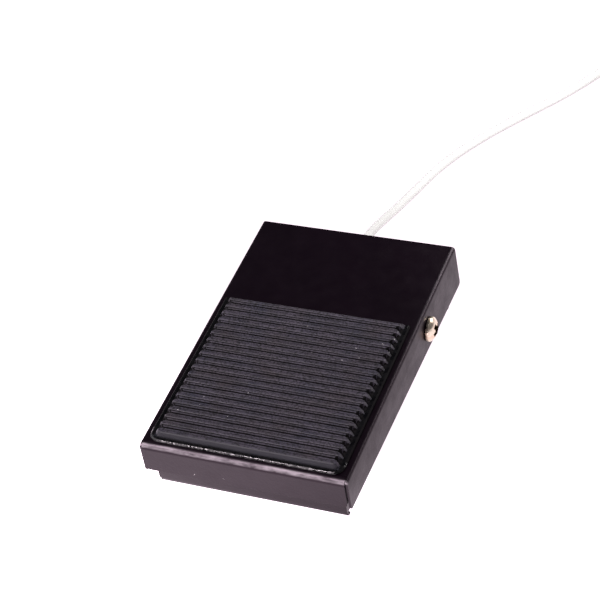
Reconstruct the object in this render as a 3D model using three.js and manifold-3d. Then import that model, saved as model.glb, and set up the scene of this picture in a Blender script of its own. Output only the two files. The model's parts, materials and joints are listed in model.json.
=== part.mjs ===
// A sustain pedal: a metal foot switch with a ribbed rubber tread, and its lead ending in a jack plug.
// Millimetres. +Z is up, -Y is the player's side, and the origin is on the floor under the middle.
import * as THREE from 'three';
import { mergeVertices } from 'three/addons/utils/BufferGeometryUtils.js';
import Module from 'manifold-3d';

const wasm = await Module();
wasm.setup();

// ---- driving dimensions ----

const SHEET = 0.8; // steel sheet of the cover and the tray
const GAP = 0.3; // clearance between pieces that touch
const FAR = 200; // longer than any cut
const BITE = 1; // how far a cutting tool runs past the piece it cuts
const FINE = 24; // sides of large, usual and small round pieces
const ROUND = 20;
const COARSE = 16;

const COVER = {
  width: 67,
  length: 101.5,
  frontTop: 19.8, // height of the top plate's upper face at the front and at the back
  backTop: 25.7,
  frontHem: 9.5, // height of the front flange's lower edge
  sideHemFront: 8.4, // height of the side flanges' lower edge at the front and at the back
  sideHemBack: 9.7,
  sideSetBack: 0.5, // side flanges' front edge behind the front flange's face
  backLean: 0.2, // how far the side flanges' lower back corner stands out past the plate's edge
  bend: 1.3, // outer radius of the side folds and of the front fold
  frontBend: 2,
  corner: 1.5, // rounding of the flanges' lower corners
  relief: 0.15, // slit between the front flange and a side flange
  reliefDepth: 2.2,
};

const TRAY = {
  halfWidth: 30.5,
  frontHalfWidth: 30.7, // of the front and back walls, which close the side walls' ends
  backHalfWidth: 30.2,
  sideSetBack: 0.8, // side walls' ends behind the end walls' outer faces
  front: -48,
  back: 48.9,
  bottom: 1.8,
  bend: 2,
  corner: 2, // rounding of the walls' corners
  frontWallTop: 12,
  sideWallFront: 12,
  sideWallTop: 20.5,
  slopeEnd: 14, // y where the side wall reaches its full height
  backWallTop: 21.5,
};

const PIVOT = {
  y: 21.5,
  z: 16.3,
  screwRadius: 2,
  screwLength: 10,
  headRadius: 4,
  headHeight: 2.8,
  dome: [[1, 0.3], [0.9, 0.5], [0.7, 0.72], [0.4, 0.92]], // shares of the head's radius and height
  recessDepth: 1.6,
  recessSpan: 4.4,
  recessWidth: 1.1,
  spigotRadius: 2.8,
  collarRadius: 4.6,
  washerRadius: 3.7,
  washerThickness: 0.8,
  nutAcrossFlats: 7,
  nutThickness: 2.9,
};

const TREAD = {
  halfWidth: 29.7, // of the ribbed block
  back: 13.1,
  front: -47.2,
  height: 1.9,
  ribs: 20,
  grooveWidth: 0.5,
  grooveDepth: 0.9,
  rimWidth: 1.6, // thin border outside the block
  rimHeight: 0.6,
  rimCorner: 3.5,
};

const FOOT = { x: 22, y: 38, radius: 5.5, chamfer: 0.5, stem: 1.9, barb: 2.9, barbTip: 1.3, barbHeight: 1.4 };

const SPRING = { y: -33, meanRadius: 4.6, wire: 0.55, turns: 5, studRadius: 3.4, studHeight: 3 };

const STOP = { x: 13.5, y: -40, radius: 4.2, rimHeight: 2, topRadius: 3.2, neck: 4, chamfer: 0.8, top: 15.5 };

const STRIP = { lip: 1, overlap: 3, edge: 0.4 }; // rubber edge strip over the back wall

const SWITCH = {
  width: 5.8,
  front: -15.5,
  back: -2.7,
  bottom: 6.6,
  height: 6.5,
  hingeY: -4,
  hingeRise: 0.9, // lever hinge above the case
  contactY: -16.5,
  leverThickness: 0.4,
  leverWidth: 3.4,
  leverRise: 2.1, // how far the contact point stands above the hinge at rest
  leverEnd: 1.5, // lever beyond the contact point
  knuckle: 0.6,
  studRadius: 2.4,
  plungerY: -8,
  plungerRadius: 0.8,
  plungerTip: 0.3,
  plungerDepth: 1, // hidden length inside the case
  wellDepth: 2,
  terminalY: [-14, -9.1, -4.2],
  terminalLength: 2.4,
  terminalWidth: 1.6,
  terminalThickness: 0.4,
  terminalCorner: 0.5,
  screwY: [-12.3, -5.9],
  screwZ: 9.2,
  screwRadius: 0.9,
  screwHead: 1.8,
  nutThickness: 1.4,
  nutRadius: 2.3,
};

const BRACKET = {
  thickness: 1,
  bend: 1.2,
  innerBend: 0.3,
  footEnd: 14.5,
  top: 12,
  screwX: 10,
  screwY: [-14, -4.5],
  screwRadius: 1.5,
  screwHead: 2.8,
};

const CABLE = { diameter: 3.2, sides: 8, exitX: -4.8, exitZ: 9.5, reliefEnd: 63.4, tailEnd: 29 };

const CLAMP = { y: 35, width: 6, thickness: 0.9, bend: 2, innerBend: 1.4, screwX: 5, footEnd: 9 };

const WIRE_RADIUS = 0.55;

const COIL = { x: 72, y: 205, bottom: 0.8, meanRadius: 17.8, columns: 4, layers: 4, pitch: 3.25, sides: 40 };

const TIE = { width: 5, thickness: 0.45, corner: 1.2, angle: 50 };

const PLUG = {
  x: 94.5,
  z: 5.95,
  start: 171, // y of the strain relief's cable end; the tip points to -Y
  reliefLength: 16,
  bodyLength: 25,
  bodyRadius: 5.75,
  shaftRadius: 3.15,
  sleeveLength: 20,
  insulatorLength: 1,
  tipLength: 9.2,
};

// ---- materials ----

const FINISHES = {
  paint: { color: '#2a262b', roughness: 0.5, metalness: 0.15 },
  rubber: { color: '#3a383c', roughness: 0.7, metalness: 0 },
  zinc: { color: '#c9b98c', roughness: 0.35, metalness: 0.9 },
  steel: { color: '#b7b8ba', roughness: 0.35, metalness: 0.9 },
  springSteel: { color: '#8e8f93', roughness: 0.3, metalness: 0.9 },
  blackPlastic: { color: '#1d1d1f', roughness: 0.4, metalness: 0 },
  redPlastic: { color: '#9b2a22', roughness: 0.4, metalness: 0 },
  brass: { color: '#c7a252', roughness: 0.35, metalness: 0.9 },
  jacket: { color: '#e9e8e6', roughness: 0.5, metalness: 0 },
  nickel: { color: '#c9c7c1', roughness: 0.2, metalness: 1 },
};

const group = new THREE.Group();

function addPart(name, geometry, finish) {
  const mesh = new THREE.Mesh(geometry, new THREE.MeshStandardMaterial(FINISHES[finish]));
  mesh.name = name;
  group.add(mesh);
}

// ---- geometry helpers ----

function toSolid(geometry) {
  const bare = geometry.clone();
  bare.deleteAttribute('normal');
  bare.deleteAttribute('uv');
  const merged = mergeVertices(bare, 1e-4);
  const vertProperties = new Float32Array(merged.attributes.position.array);
  const triVerts = new Uint32Array(merged.index.array);
  return new wasm.Manifold(new wasm.Mesh({ numProp: 3, vertProperties, triVerts }));
}

function toGeometry(solid) {
  const mesh = solid.getMesh();
  const geometry = new THREE.BufferGeometry();
  geometry.setAttribute('position', new THREE.BufferAttribute(mesh.vertProperties, 3));
  geometry.setIndex(new THREE.BufferAttribute(mesh.triVerts, 1));
  geometry.computeVertexNormals();
  return geometry;
}

function union(...geometries) {
  return toGeometry(geometries.map(toSolid).reduce((whole, piece) => whole.add(piece)));
}

function cut(geometry, ...tools) {
  return toGeometry(tools.map(toSolid).reduce((whole, tool) => whole.subtract(tool), toSolid(geometry)));
}

function common(geometry, ...others) {
  return toGeometry(others.map(toSolid).reduce((whole, other) => whole.intersect(other), toSolid(geometry)));
}

// A block from its lowest to its highest corner.
function block(low, high) {
  const [dx, dy, dz] = low.map((value, i) => high[i] - value);
  const geometry = new THREE.BoxGeometry(dx, dy, dz);
  return geometry.translate(low[0] + dx / 2, low[1] + dy / 2, low[2] + dz / 2);
}

// A solid of revolution whose profile holds [radius, height] points, turned from +Y to the given axis.
function turned(profile, axis, origin, segments = ROUND) {
  const points = profile.map(([radius, height]) => new THREE.Vector2(radius, height));
  const geometry = new THREE.LatheGeometry(points, segments);
  const turn = new THREE.Quaternion().setFromUnitVectors(
    new THREE.Vector3(0, 1, 0),
    new THREE.Vector3(...axis),
  );
  return geometry.applyQuaternion(turn).translate(...origin);
}

function rod(radius, length, axis, origin, segments = ROUND) {
  return turned([[0, 0], [radius, 0], [radius, length], [0, length]], axis, origin, segments);
}

function sleeve(inner, outer, length, axis, origin, segments = ROUND) {
  return turned(
    [[inner, 0], [outer, 0], [outer, length], [inner, length], [inner, 0]],
    axis,
    origin,
    segments,
  );
}

// A closed outline of [a, b, radius] points, where a radius rounds its corner.
function outline(corners) {
  const shape = new THREE.Shape();
  const count = corners.length;
  corners.forEach(([a, b, radius = 0], i) => {
    const corner = new THREE.Vector2(a, b);
    const before = new THREE.Vector2(...corners[(i + count - 1) % count].slice(0, 2));
    const after = new THREE.Vector2(...corners[(i + 1) % count].slice(0, 2));
    const start = before.sub(corner).setLength(radius).add(corner);
    const end = after.sub(corner).setLength(radius).add(corner);
    if (i === 0) {
      shape.moveTo(start.x, start.y);
    } else {
      shape.lineTo(start.x, start.y);
    }
    if (radius > 0) {
      shape.quadraticCurveTo(a, b, end.x, end.y);
    }
  });
  shape.closePath();
  return shape;
}

// Shape planes: an outline drawn in (y, z), (x, z) or (x, y) and extruded along x, y or z.
const PLANES = {
  x: (depth, start) => new THREE.Matrix4().set(0, 0, 1, start, 1, 0, 0, 0, 0, 1, 0, 0, 0, 0, 0, 1),
  y: (depth, start) => new THREE.Matrix4().set(1, 0, 0, 0, 0, 0, -1, start + depth, 0, 1, 0, 0, 0, 0, 0, 1),
  z: (depth, start) => new THREE.Matrix4().makeTranslation(0, 0, start),
};

function prism(shape, axis, start, end, curveSegments = 4) {
  const depth = end - start;
  const geometry = new THREE.ExtrudeGeometry(shape, { depth, bevelEnabled: false, curveSegments });
  return geometry.applyMatrix4(PLANES[axis](depth, start));
}

function tube(curve, radius, sides, steps) {
  const section = new THREE.Shape();
  for (let i = 0; i < sides; i += 1) {
    const angle = (2 * Math.PI * i) / sides;
    const corner = [radius * Math.cos(angle), radius * Math.sin(angle)];
    if (i === 0) {
      section.moveTo(...corner);
    } else {
      section.lineTo(...corner);
    }
  }
  section.closePath();
  return new THREE.ExtrudeGeometry(section, { extrudePath: curve, steps, bevelEnabled: false });
}

function smooth(points) {
  return new THREE.CatmullRomCurve3(points.map((point) => new THREE.Vector3(...point)));
}

// ---- cover: drawn with its top plate flat at z = 0, then tilted to slope down to the front ----

const SLOPE = Math.atan2(COVER.backTop - COVER.frontTop, COVER.length);
const COVER_FRONT = -COVER.length / 2;
const COVER_BACK = COVER.length / 2;
const COVER_MIDDLE = (COVER.frontTop + COVER.backTop) / 2;

function tilted(geometry) {
  return geometry.rotateX(SLOPE).translate(0, 0, COVER_MIDDLE);
}

// Height of the cover's underside at a y of the resting pedal.
function undersideAt(y) {
  return COVER_MIDDLE + y * Math.tan(SLOPE) - SHEET / Math.cos(SLOPE);
}

// Height in the flat drawing of a level line at height z.
function levelInDrawing(y, z) {
  return (z - COVER_MIDDLE - y * Math.sin(SLOPE)) / Math.cos(SLOPE);
}

// The U of a folded sheet, open at the bottom, with its web's outer face at z = 0.
function channelOutline(halfWidth, depth, bend) {
  const inner = halfWidth - SHEET;
  return outline([
    [-halfWidth, -depth],
    [-halfWidth, 0, bend],
    [halfWidth, 0, bend],
    [halfWidth, -depth],
    [inner, -depth],
    [inner, -SHEET, bend - SHEET],
    [-inner, -SHEET, bend - SHEET],
    [-inner, -depth],
  ]);
}

function coverChannel() {
  const section = channelOutline(COVER.width / 2, COVER_MIDDLE, COVER.bend);
  const channel = prism(section, 'y', COVER_FRONT - BITE, COVER_BACK + BITE);
  const frontEdge = COVER_FRONT + COVER.sideSetBack;
  const frontHem = levelInDrawing(COVER_FRONT, COVER.sideHemFront);
  const side = outline([
    [frontEdge, BITE],
    [frontEdge, 0],
    [frontEdge + frontHem * Math.tan(SLOPE), frontHem, COVER.corner / 2],
    [COVER_BACK + COVER.backLean, levelInDrawing(COVER_BACK, COVER.sideHemBack), COVER.corner],
    [COVER_BACK, 0],
    [COVER_BACK, BITE],
  ]);
  return common(channel, prism(side, 'x', -FAR, FAR));
}

function frontFlange() {
  const halfWidth = COVER.width / 2 - SHEET - COVER.relief;
  const hem = levelInDrawing(COVER_FRONT, COVER.frontHem);
  const webEnd = COVER_FRONT + COVER.reliefDepth + SHEET;
  const low = hem - BITE;
  const lowFace = COVER_FRONT + low * Math.tan(SLOPE); // the flange hangs straight down
  const fold = outline([
    [webEnd, 0],
    [COVER_FRONT, 0, COVER.frontBend],
    [lowFace, low],
    [lowFace + SHEET, low],
    [COVER_FRONT + SHEET, -SHEET, COVER.frontBend - SHEET],
    [webEnd, -SHEET],
  ]);
  const face = outline([
    [-halfWidth, BITE],
    [-halfWidth, hem, COVER.corner],
    [halfWidth, hem, COVER.corner],
    [halfWidth, BITE],
  ]);
  return common(prism(fold, 'x', -FAR, FAR), prism(face, 'y', -FAR, FAR));
}

function pedalCover() {
  const reliefHalf = COVER.width / 2 - SHEET;
  const notch = block(
    [-reliefHalf, COVER_FRONT - BITE, -FAR],
    [reliefHalf, COVER_FRONT + COVER.reliefDepth, BITE],
  );
  const folded = tilted(union(cut(coverChannel(), notch), frontFlange()));
  const bore = rod(PIVOT.spigotRadius + GAP, 2 * FAR, [1, 0, 0], [-FAR, PIVOT.y, PIVOT.z], FINE);
  return cut(folded, bore);
}

function rubberTread() {
  const pitch = (TREAD.back - TREAD.front + TREAD.grooveWidth) / TREAD.ribs;
  const top = GAP + TREAD.height;
  const grooveFloor = top - TREAD.grooveDepth;
  const corners = [[TREAD.front, GAP], [TREAD.front, top]];
  for (let rib = 1; rib < TREAD.ribs; rib += 1) {
    const start = TREAD.front + rib * pitch;
    corners.push([start - TREAD.grooveWidth, top], [start - TREAD.grooveWidth, grooveFloor]);
    corners.push([start, grooveFloor], [start, top]);
  }
  corners.push([TREAD.back, top], [TREAD.back, GAP]);
  const ribbed = prism(outline(corners), 'x', -TREAD.halfWidth, TREAD.halfWidth);
  const rimHalf = TREAD.halfWidth + TREAD.rimWidth;
  const rim = outline([
    [-rimHalf, TREAD.front - TREAD.rimWidth, TREAD.rimCorner],
    [rimHalf, TREAD.front - TREAD.rimWidth, TREAD.rimCorner],
    [rimHalf, TREAD.back],
    [-rimHalf, TREAD.back],
  ]);
  return tilted(union(ribbed, prism(rim, 'z', GAP, GAP + TREAD.rimHeight)));
}

// ---- tray ----

const TRAY_FLOOR = TRAY.bottom + SHEET;

function endWall(front, halfWidth, top) {
  const face = outline([
    [-halfWidth, TRAY.bottom + TRAY.bend],
    [halfWidth, TRAY.bottom + TRAY.bend],
    [halfWidth, top, TRAY.corner],
    [-halfWidth, top, TRAY.corner],
  ]);
  return prism(face, 'y', front, front + SHEET);
}

// The folds that join the floor to the two end walls, as one channel lying across the tray.
function endFolds() {
  const top = TRAY.bottom + TRAY.bend + BITE;
  const profile = outline([
    [TRAY.front, top],
    [TRAY.front, TRAY.bottom, TRAY.bend],
    [TRAY.back, TRAY.bottom, TRAY.bend],
    [TRAY.back, top],
    [TRAY.back - SHEET, top],
    [TRAY.back - SHEET, TRAY_FLOOR, TRAY.bend - SHEET],
    [TRAY.front + SHEET, TRAY_FLOOR, TRAY.bend - SHEET],
    [TRAY.front + SHEET, top],
  ]);
  const narrow = TRAY.halfWidth - TRAY.bend;
  const front = TRAY.front + TRAY.bend;
  const back = TRAY.back - TRAY.bend;
  const plan = outline([
    [-TRAY.frontHalfWidth, TRAY.front, TRAY.corner / 2],
    [TRAY.frontHalfWidth, TRAY.front, TRAY.corner / 2],
    [TRAY.frontHalfWidth, front],
    [narrow, front],
    [narrow, back],
    [TRAY.backHalfWidth, back],
    [TRAY.backHalfWidth, TRAY.back, TRAY.corner / 2],
    [-TRAY.backHalfWidth, TRAY.back, TRAY.corner / 2],
    [-TRAY.backHalfWidth, back],
    [-narrow, back],
    [-narrow, front],
    [-TRAY.frontHalfWidth, front],
  ]);
  return common(prism(profile, 'x', -FAR, FAR), prism(plan, 'z', 0, FAR));
}

function sideFolds() {
  const halfWidth = TRAY.halfWidth;
  const channel = channelOutline(halfWidth, FAR, TRAY.bend);
  const upright = prism(channel, 'y', TRAY.front, TRAY.back).rotateY(Math.PI).translate(0, 0, TRAY.bottom);
  const front = TRAY.front + TRAY.sideSetBack;
  const back = TRAY.back - TRAY.sideSetBack;
  const side = outline([
    [front, TRAY.bottom, TRAY.corner],
    [back, TRAY.bottom, TRAY.corner],
    [back, TRAY.sideWallTop, TRAY.corner],
    [TRAY.slopeEnd, TRAY.sideWallTop, TRAY.corner],
    [front, TRAY.sideWallFront, TRAY.corner],
  ]);
  const notchTop = TRAY_FLOOR + FAR;
  const halfFloor = halfWidth - SHEET;
  const notches = [
    block([-halfFloor, TRAY.front - BITE, 0], [halfFloor, TRAY.front + TRAY.bend, notchTop]),
    block([-halfFloor, TRAY.back - TRAY.bend, 0], [halfFloor, TRAY.back + BITE, notchTop]),
  ];
  return cut(common(upright, prism(side, 'x', -FAR, FAR)), ...notches);
}

function baseTray() {
  const frontWall = endWall(TRAY.front, TRAY.frontHalfWidth, TRAY.frontWallTop);
  const backWall = endWall(TRAY.back - SHEET, TRAY.backHalfWidth, TRAY.backWallTop);
  const folded = union(sideFolds(), endFolds(), frontWall, backWall);
  const tools = [
    rod(PIVOT.screwRadius + GAP, 2 * FAR, [1, 0, 0], [-FAR, PIVOT.y, PIVOT.z]),
    rod(RELIEF.neck + GAP, FAR, [0, 1, 0], [CABLE.exitX, 0, CABLE.exitZ]),
    rod(BRACKET.screwRadius + GAP, FAR, [0, 0, 1], [CLAMP.screwX, CLAMP.y, 0]),
  ];
  for (const y of BRACKET.screwY) {
    tools.push(rod(BRACKET.screwRadius + GAP, FAR, [0, 0, 1], [BRACKET.screwX, y, 0]));
  }
  for (const [x, y] of FOOT_PLACES.map(([, ...place]) => place)) {
    tools.push(rod(FOOT.stem + GAP, TRAY_FLOOR + BITE, [0, 0, 1], [x, y, 0]));
  }
  return cut(folded, ...tools);
}

// ---- pivot: a screw, a bush that the cover turns on, a lock washer and a nut on each side ----

// The pieces of one side, drawn for +X and mirrored for the other.
function pivotPieces() {
  const coverFace = COVER.width / 2;
  const headSeat = coverFace + GAP;
  const wallOuter = TRAY.halfWidth;
  const wallInner = wallOuter - SHEET;
  const washerInner = wallInner - GAP - PIVOT.washerThickness;
  const nutInner = washerInner - GAP - PIVOT.nutThickness;
  const nutRadius = PIVOT.nutAcrossFlats / Math.sqrt(3);
  const shankEnd = headSeat - PIVOT.screwLength;
  const at = (x) => [x, PIVOT.y, PIVOT.z];
  const { headRadius, headHeight, screwRadius, screwLength } = PIVOT;
  const headProfile = [
    [0, 0],
    [screwRadius, 0],
    [screwRadius, screwLength],
    [headRadius, screwLength],
    ...PIVOT.dome.map(([across, up]) => [headRadius * across, screwLength + headHeight * up]),
    [0, screwLength + headHeight],
  ];
  const arm = PIVOT.recessSpan / 2;
  const half = PIVOT.recessWidth / 2;
  const recessFloor = headSeat + headHeight - PIVOT.recessDepth;
  const slots = [[arm, half], [half, arm]].map(([dy, dz]) => block(
    [recessFloor, PIVOT.y - dy, PIVOT.z - dz],
    [headSeat + headHeight + BITE, PIVOT.y + dy, PIVOT.z + dz],
  ));
  const bushInner = wallOuter + GAP;
  const collar = coverFace - SHEET - GAP - bushInner;
  const bore = screwRadius + GAP;
  const bushProfile = [
    [bore, 0],
    [PIVOT.collarRadius, 0],
    [PIVOT.collarRadius, collar],
    [PIVOT.spigotRadius, collar],
    [PIVOT.spigotRadius, headSeat - GAP - bushInner],
    [bore, headSeat - GAP - bushInner],
    [bore, 0],
  ];
  return {
    pivot_screw: [cut(turned(headProfile, [1, 0, 0], at(shankEnd), FINE), ...slots), 'zinc'],
    pivot_bush: [turned(bushProfile, [1, 0, 0], at(bushInner)), 'brass'],
    lock_washer: [
      sleeve(bore, PIVOT.washerRadius, PIVOT.washerThickness, [1, 0, 0], at(washerInner)),
      'steel',
    ],
    pivot_nut: [sleeve(bore, nutRadius, PIVOT.nutThickness, [1, 0, 0], at(nutInner), 6), 'zinc'],
  };
}

// Turning half a turn about the pivot's own vertical line carries the +X pieces to -X.
function onOtherSide(geometry) {
  return geometry.clone().translate(0, -PIVOT.y, 0).rotateZ(Math.PI).translate(0, PIVOT.y, 0);
}

function addPivots() {
  for (const [name, [geometry, finish]] of Object.entries(pivotPieces())) {
    addPart(`${name}_right`, geometry, finish);
    addPart(`${name}_left`, onOtherSide(geometry), finish);
  }
}

// ---- feet, spring and stops ----

const FOOT_PLACES = [
  ['foot_front_left', -FOOT.x, -FOOT.y],
  ['foot_front_right', FOOT.x, -FOOT.y],
  ['foot_rear_left', -FOOT.x, FOOT.y],
  ['foot_rear_right', FOOT.x, FOOT.y],
];

function foot(x, y) {
  const flangeTop = TRAY.bottom - GAP;
  const barbBase = TRAY_FLOOR + GAP;
  const profile = [
    [0, 0],
    [FOOT.radius - FOOT.chamfer, 0],
    [FOOT.radius, FOOT.chamfer],
    [FOOT.radius, flangeTop],
    [FOOT.stem, flangeTop],
    [FOOT.stem, barbBase],
    [FOOT.barb, barbBase],
    [FOOT.barbTip, barbBase + FOOT.barbHeight],
    [0, barbBase + FOOT.barbHeight],
  ];
  return turned(profile, [0, 0, 1], [x, y, 0]);
}

function springStud(z, direction) {
  return rod(SPRING.studRadius, SPRING.studHeight, [0, 0, direction], [0, SPRING.y, z]);
}

class HelixCurve extends THREE.Curve {
  constructor(radius, bottom, top, turns) {
    super();
    Object.assign(this, { radius, bottom, top, turns });
  }

  getPoint(t, target = new THREE.Vector3()) {
    const angle = 2 * Math.PI * this.turns * t;
    const height = this.bottom + (this.top - this.bottom) * t;
    return target.set(
      this.radius * Math.cos(angle),
      SPRING.y + this.radius * Math.sin(angle),
      height,
    );
  }
}

function returnSpring() {
  const bottom = TRAY_FLOOR + GAP + SPRING.wire;
  const top = undersideAt(SPRING.y - SPRING.meanRadius) - GAP - SPRING.wire;
  const helix = new HelixCurve(SPRING.meanRadius, bottom, top, SPRING.turns);
  return tube(helix, SPRING.wire, 6, SPRING.turns * 12);
}

function stopBumper(x) {
  const bottom = TRAY_FLOOR + GAP;
  const height = STOP.top - bottom;
  const profile = [
    [0, 0],
    [STOP.radius, 0],
    [STOP.radius, STOP.rimHeight],
    [STOP.topRadius, STOP.neck],
    [STOP.topRadius, height - STOP.chamfer],
    [STOP.topRadius - STOP.chamfer, height],
    [0, height],
  ];
  return turned(profile, [0, 0, 1], [x, STOP.y, bottom]);
}

// A U-shaped rubber edge strip over the back wall, where the resting cover lies on it.
function rearStopStrip() {
  const { lip, edge } = STRIP;
  const inner = TRAY.back - SHEET - GAP;
  const outer = TRAY.back + GAP;
  const top = undersideAt(inner - lip) - GAP;
  const low = TRAY.backWallTop - STRIP.overlap;
  const groove = TRAY.backWallTop + GAP;
  const halfWidth = TRAY.backHalfWidth - TRAY.corner - 2 * GAP;
  const section = outline([
    [inner - lip, low],
    [inner, low],
    [inner, groove],
    [outer, groove],
    [outer, low],
    [outer + lip, low],
    [outer + lip, top, edge],
    [inner - lip, top, edge],
  ]);
  return prism(section, 'x', -halfWidth, halfWidth, 2);
}

// ---- switch ----

const LEVER_ANGLE = Math.atan2(SWITCH.leverRise, SWITCH.hingeY - SWITCH.contactY);
const SWITCH_TOP = SWITCH.bottom + SWITCH.height;
const HINGE_Z = SWITCH_TOP + SWITCH.hingeRise;

function switchCase() {
  const half = SWITCH.width / 2;
  const body = block([-half, SWITCH.front, SWITCH.bottom], [half, SWITCH.back, SWITCH_TOP]);
  const tools = SWITCH.screwY.map(
    (y) => rod(SWITCH.screwRadius + GAP, FAR, [1, 0, 0], [-FAR / 2, y, SWITCH.screwZ], COARSE),
  );
  const wellFloor = [0, SWITCH.plungerY, SWITCH_TOP - SWITCH.wellDepth];
  tools.push(rod(SWITCH.plungerRadius + GAP, FAR, [0, 0, 1], wellFloor, COARSE));
  return cut(body, ...tools);
}

// Height of the lever's lower face at a y, with the pedal at rest.
function leverUnderAt(y) {
  return HINGE_Z + (SWITCH.hingeY - y) * Math.tan(LEVER_ANGLE) - SWITCH.leverThickness / 2;
}

function switchPlunger() {
  const bottom = SWITCH_TOP - SWITCH.plungerDepth;
  const height = leverUnderAt(SWITCH.plungerY) - 2 * GAP - bottom;
  const { plungerRadius } = SWITCH;
  const profile = [
    [0, 0],
    [plungerRadius, 0],
    [plungerRadius, height - SWITCH.plungerTip],
    [plungerRadius / 2, height],
    [0, height],
  ];
  return turned(profile, [0, 0, 1], [0, SWITCH.plungerY, bottom], COARSE);
}

function switchLever() {
  const half = SWITCH.leverThickness / 2;
  const reach = SWITCH.hingeY - SWITCH.contactY + SWITCH.leverEnd;
  const { knuckle } = SWITCH;
  const blade = outline([
    [knuckle, -half],
    [knuckle, knuckle],
    [-knuckle, knuckle],
    [-knuckle * 1.5, half],
    [-reach, half],
    [-reach, -half],
  ]);
  const width = SWITCH.leverWidth / 2;
  const strip = prism(blade, 'x', -width, width);
  return strip.rotateX(-LEVER_ANGLE).translate(0, SWITCH.hingeY, HINGE_Z);
}

function actuatorStud() {
  const top = undersideAt(SWITCH.contactY) - GAP;
  const tip = leverUnderAt(SWITCH.contactY) + SWITCH.leverThickness / Math.cos(LEVER_ANGLE) + 2 * GAP;
  const height = top - tip;
  const radius = SWITCH.studRadius;
  const profile = [[0, 0], [radius, 0], [radius, height * 0.5], [radius * 0.6, height * 0.9], [0, height]];
  return turned(profile, [0, 0, -1], [0, SWITCH.contactY, top]);
}

function terminal(y) {
  const half = SWITCH.terminalWidth / 2;
  const top = SWITCH.bottom - GAP;
  const low = top - SWITCH.terminalLength;
  const thickness = SWITCH.terminalThickness;
  const blade = outline([
    [-half, top],
    [-half, low, SWITCH.terminalCorner],
    [half, low, SWITCH.terminalCorner],
    [half, top],
  ]);
  return prism(blade, 'y', y - thickness / 2, y + thickness / 2, 2);
}

function switchBracket() {
  const inner = SWITCH.width / 2 + GAP;
  const outer = inner + BRACKET.thickness;
  const floor = TRAY_FLOOR + GAP;
  const angle = outline([
    [inner, BRACKET.top],
    [inner, floor, BRACKET.bend],
    [BRACKET.footEnd, floor],
    [BRACKET.footEnd, floor + BRACKET.thickness],
    [outer, floor + BRACKET.thickness, BRACKET.innerBend],
    [outer, BRACKET.top],
  ]);
  const plate = prism(angle, 'y', SWITCH.front - BITE, SWITCH.back + BITE, 3);
  const tools = [];
  for (const y of SWITCH.screwY) {
    tools.push(rod(SWITCH.screwRadius + GAP, FAR, [1, 0, 0], [0, y, SWITCH.screwZ], COARSE));
  }
  for (const y of BRACKET.screwY) {
    tools.push(rod(BRACKET.screwRadius + GAP, FAR, [0, 0, 1], [BRACKET.screwX, y, 0], COARSE));
  }
  return cut(plate, ...tools);
}

// A small pan-head screw whose head sits at the origin and whose shank runs against the axis.
function panScrew(radius, headRadius, length, axis, origin) {
  const head = headRadius * 0.6;
  const profile = [
    [0, -length],
    [radius, -length],
    [radius, 0],
    [headRadius, 0],
    [headRadius, head * 0.6],
    [headRadius * 0.7, head],
    [0, head],
  ];
  return turned(profile, axis, origin, COARSE);
}

// A screw through a piece of the given thickness and the tray's floor.
function floorScrew(thickness, seat) {
  return panScrew(BRACKET.screwRadius, BRACKET.screwHead, thickness + SHEET + 2 * GAP, [0, 0, 1], seat);
}

function addSwitch() {
  addPart('switch_case', switchCase(), 'blackPlastic');
  addPart('switch_plunger', switchPlunger(), 'redPlastic');
  addPart('switch_lever', switchLever(), 'steel');
  addPart('actuator_stud', actuatorStud(), 'steel');
  addPart('switch_bracket', switchBracket(), 'steel');
  ['no', 'nc', 'com'].forEach((name, i) => {
    addPart(`switch_terminal_${name}`, terminal(SWITCH.terminalY[i]), 'brass');
  });
  const caseFace = SWITCH.width / 2;
  const bore = SWITCH.screwRadius + GAP;
  const nutStart = caseFace + 2 * GAP + BRACKET.thickness;
  const screwLength = nutStart + SWITCH.nutThickness + caseFace + GAP;
  ['front', 'rear'].forEach((place, i) => {
    const y = SWITCH.screwY[i];
    const screw = panScrew(
      SWITCH.screwRadius,
      SWITCH.screwHead,
      screwLength,
      [-1, 0, 0],
      [-caseFace - GAP, y, SWITCH.screwZ],
    );
    const nutPlace = [nutStart, y, SWITCH.screwZ];
    const nut = sleeve(bore, SWITCH.nutRadius, SWITCH.nutThickness, [1, 0, 0], nutPlace, 6);
    addPart(`switch_screw_${place}`, screw, 'steel');
    addPart(`switch_nut_${place}`, nut, 'steel');
    const seat = [BRACKET.screwX, BRACKET.screwY[i], TRAY_FLOOR + BRACKET.thickness + 2 * GAP];
    addPart(`bracket_screw_${place}`, floorScrew(BRACKET.thickness, seat), 'zinc');
  });
}

// ---- lead inside the tray ----

const RELIEF = { neck: 3.2, flange: 4.8, lip: 1.3, root: 3.3, tip: 2.2 };

function strainRelief() {
  const wallIn = TRAY.back - SHEET - GAP;
  const wallOut = TRAY.back + GAP;
  const start = wallIn - RELIEF.lip;
  const profile = [
    [0, 0],
    [RELIEF.flange - 0.6, 0],
    [RELIEF.flange, RELIEF.lip],
    [RELIEF.neck, RELIEF.lip],
    [RELIEF.neck, wallOut - start],
    [RELIEF.flange, wallOut - start],
    [RELIEF.flange, wallOut + RELIEF.lip - start],
    [RELIEF.root, wallOut + RELIEF.lip - start],
    [RELIEF.tip, CABLE.reliefEnd - start],
    [0, CABLE.reliefEnd - start],
  ];
  return turned(profile, [0, 1, 0], [CABLE.exitX, start, CABLE.exitZ]);
}

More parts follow.
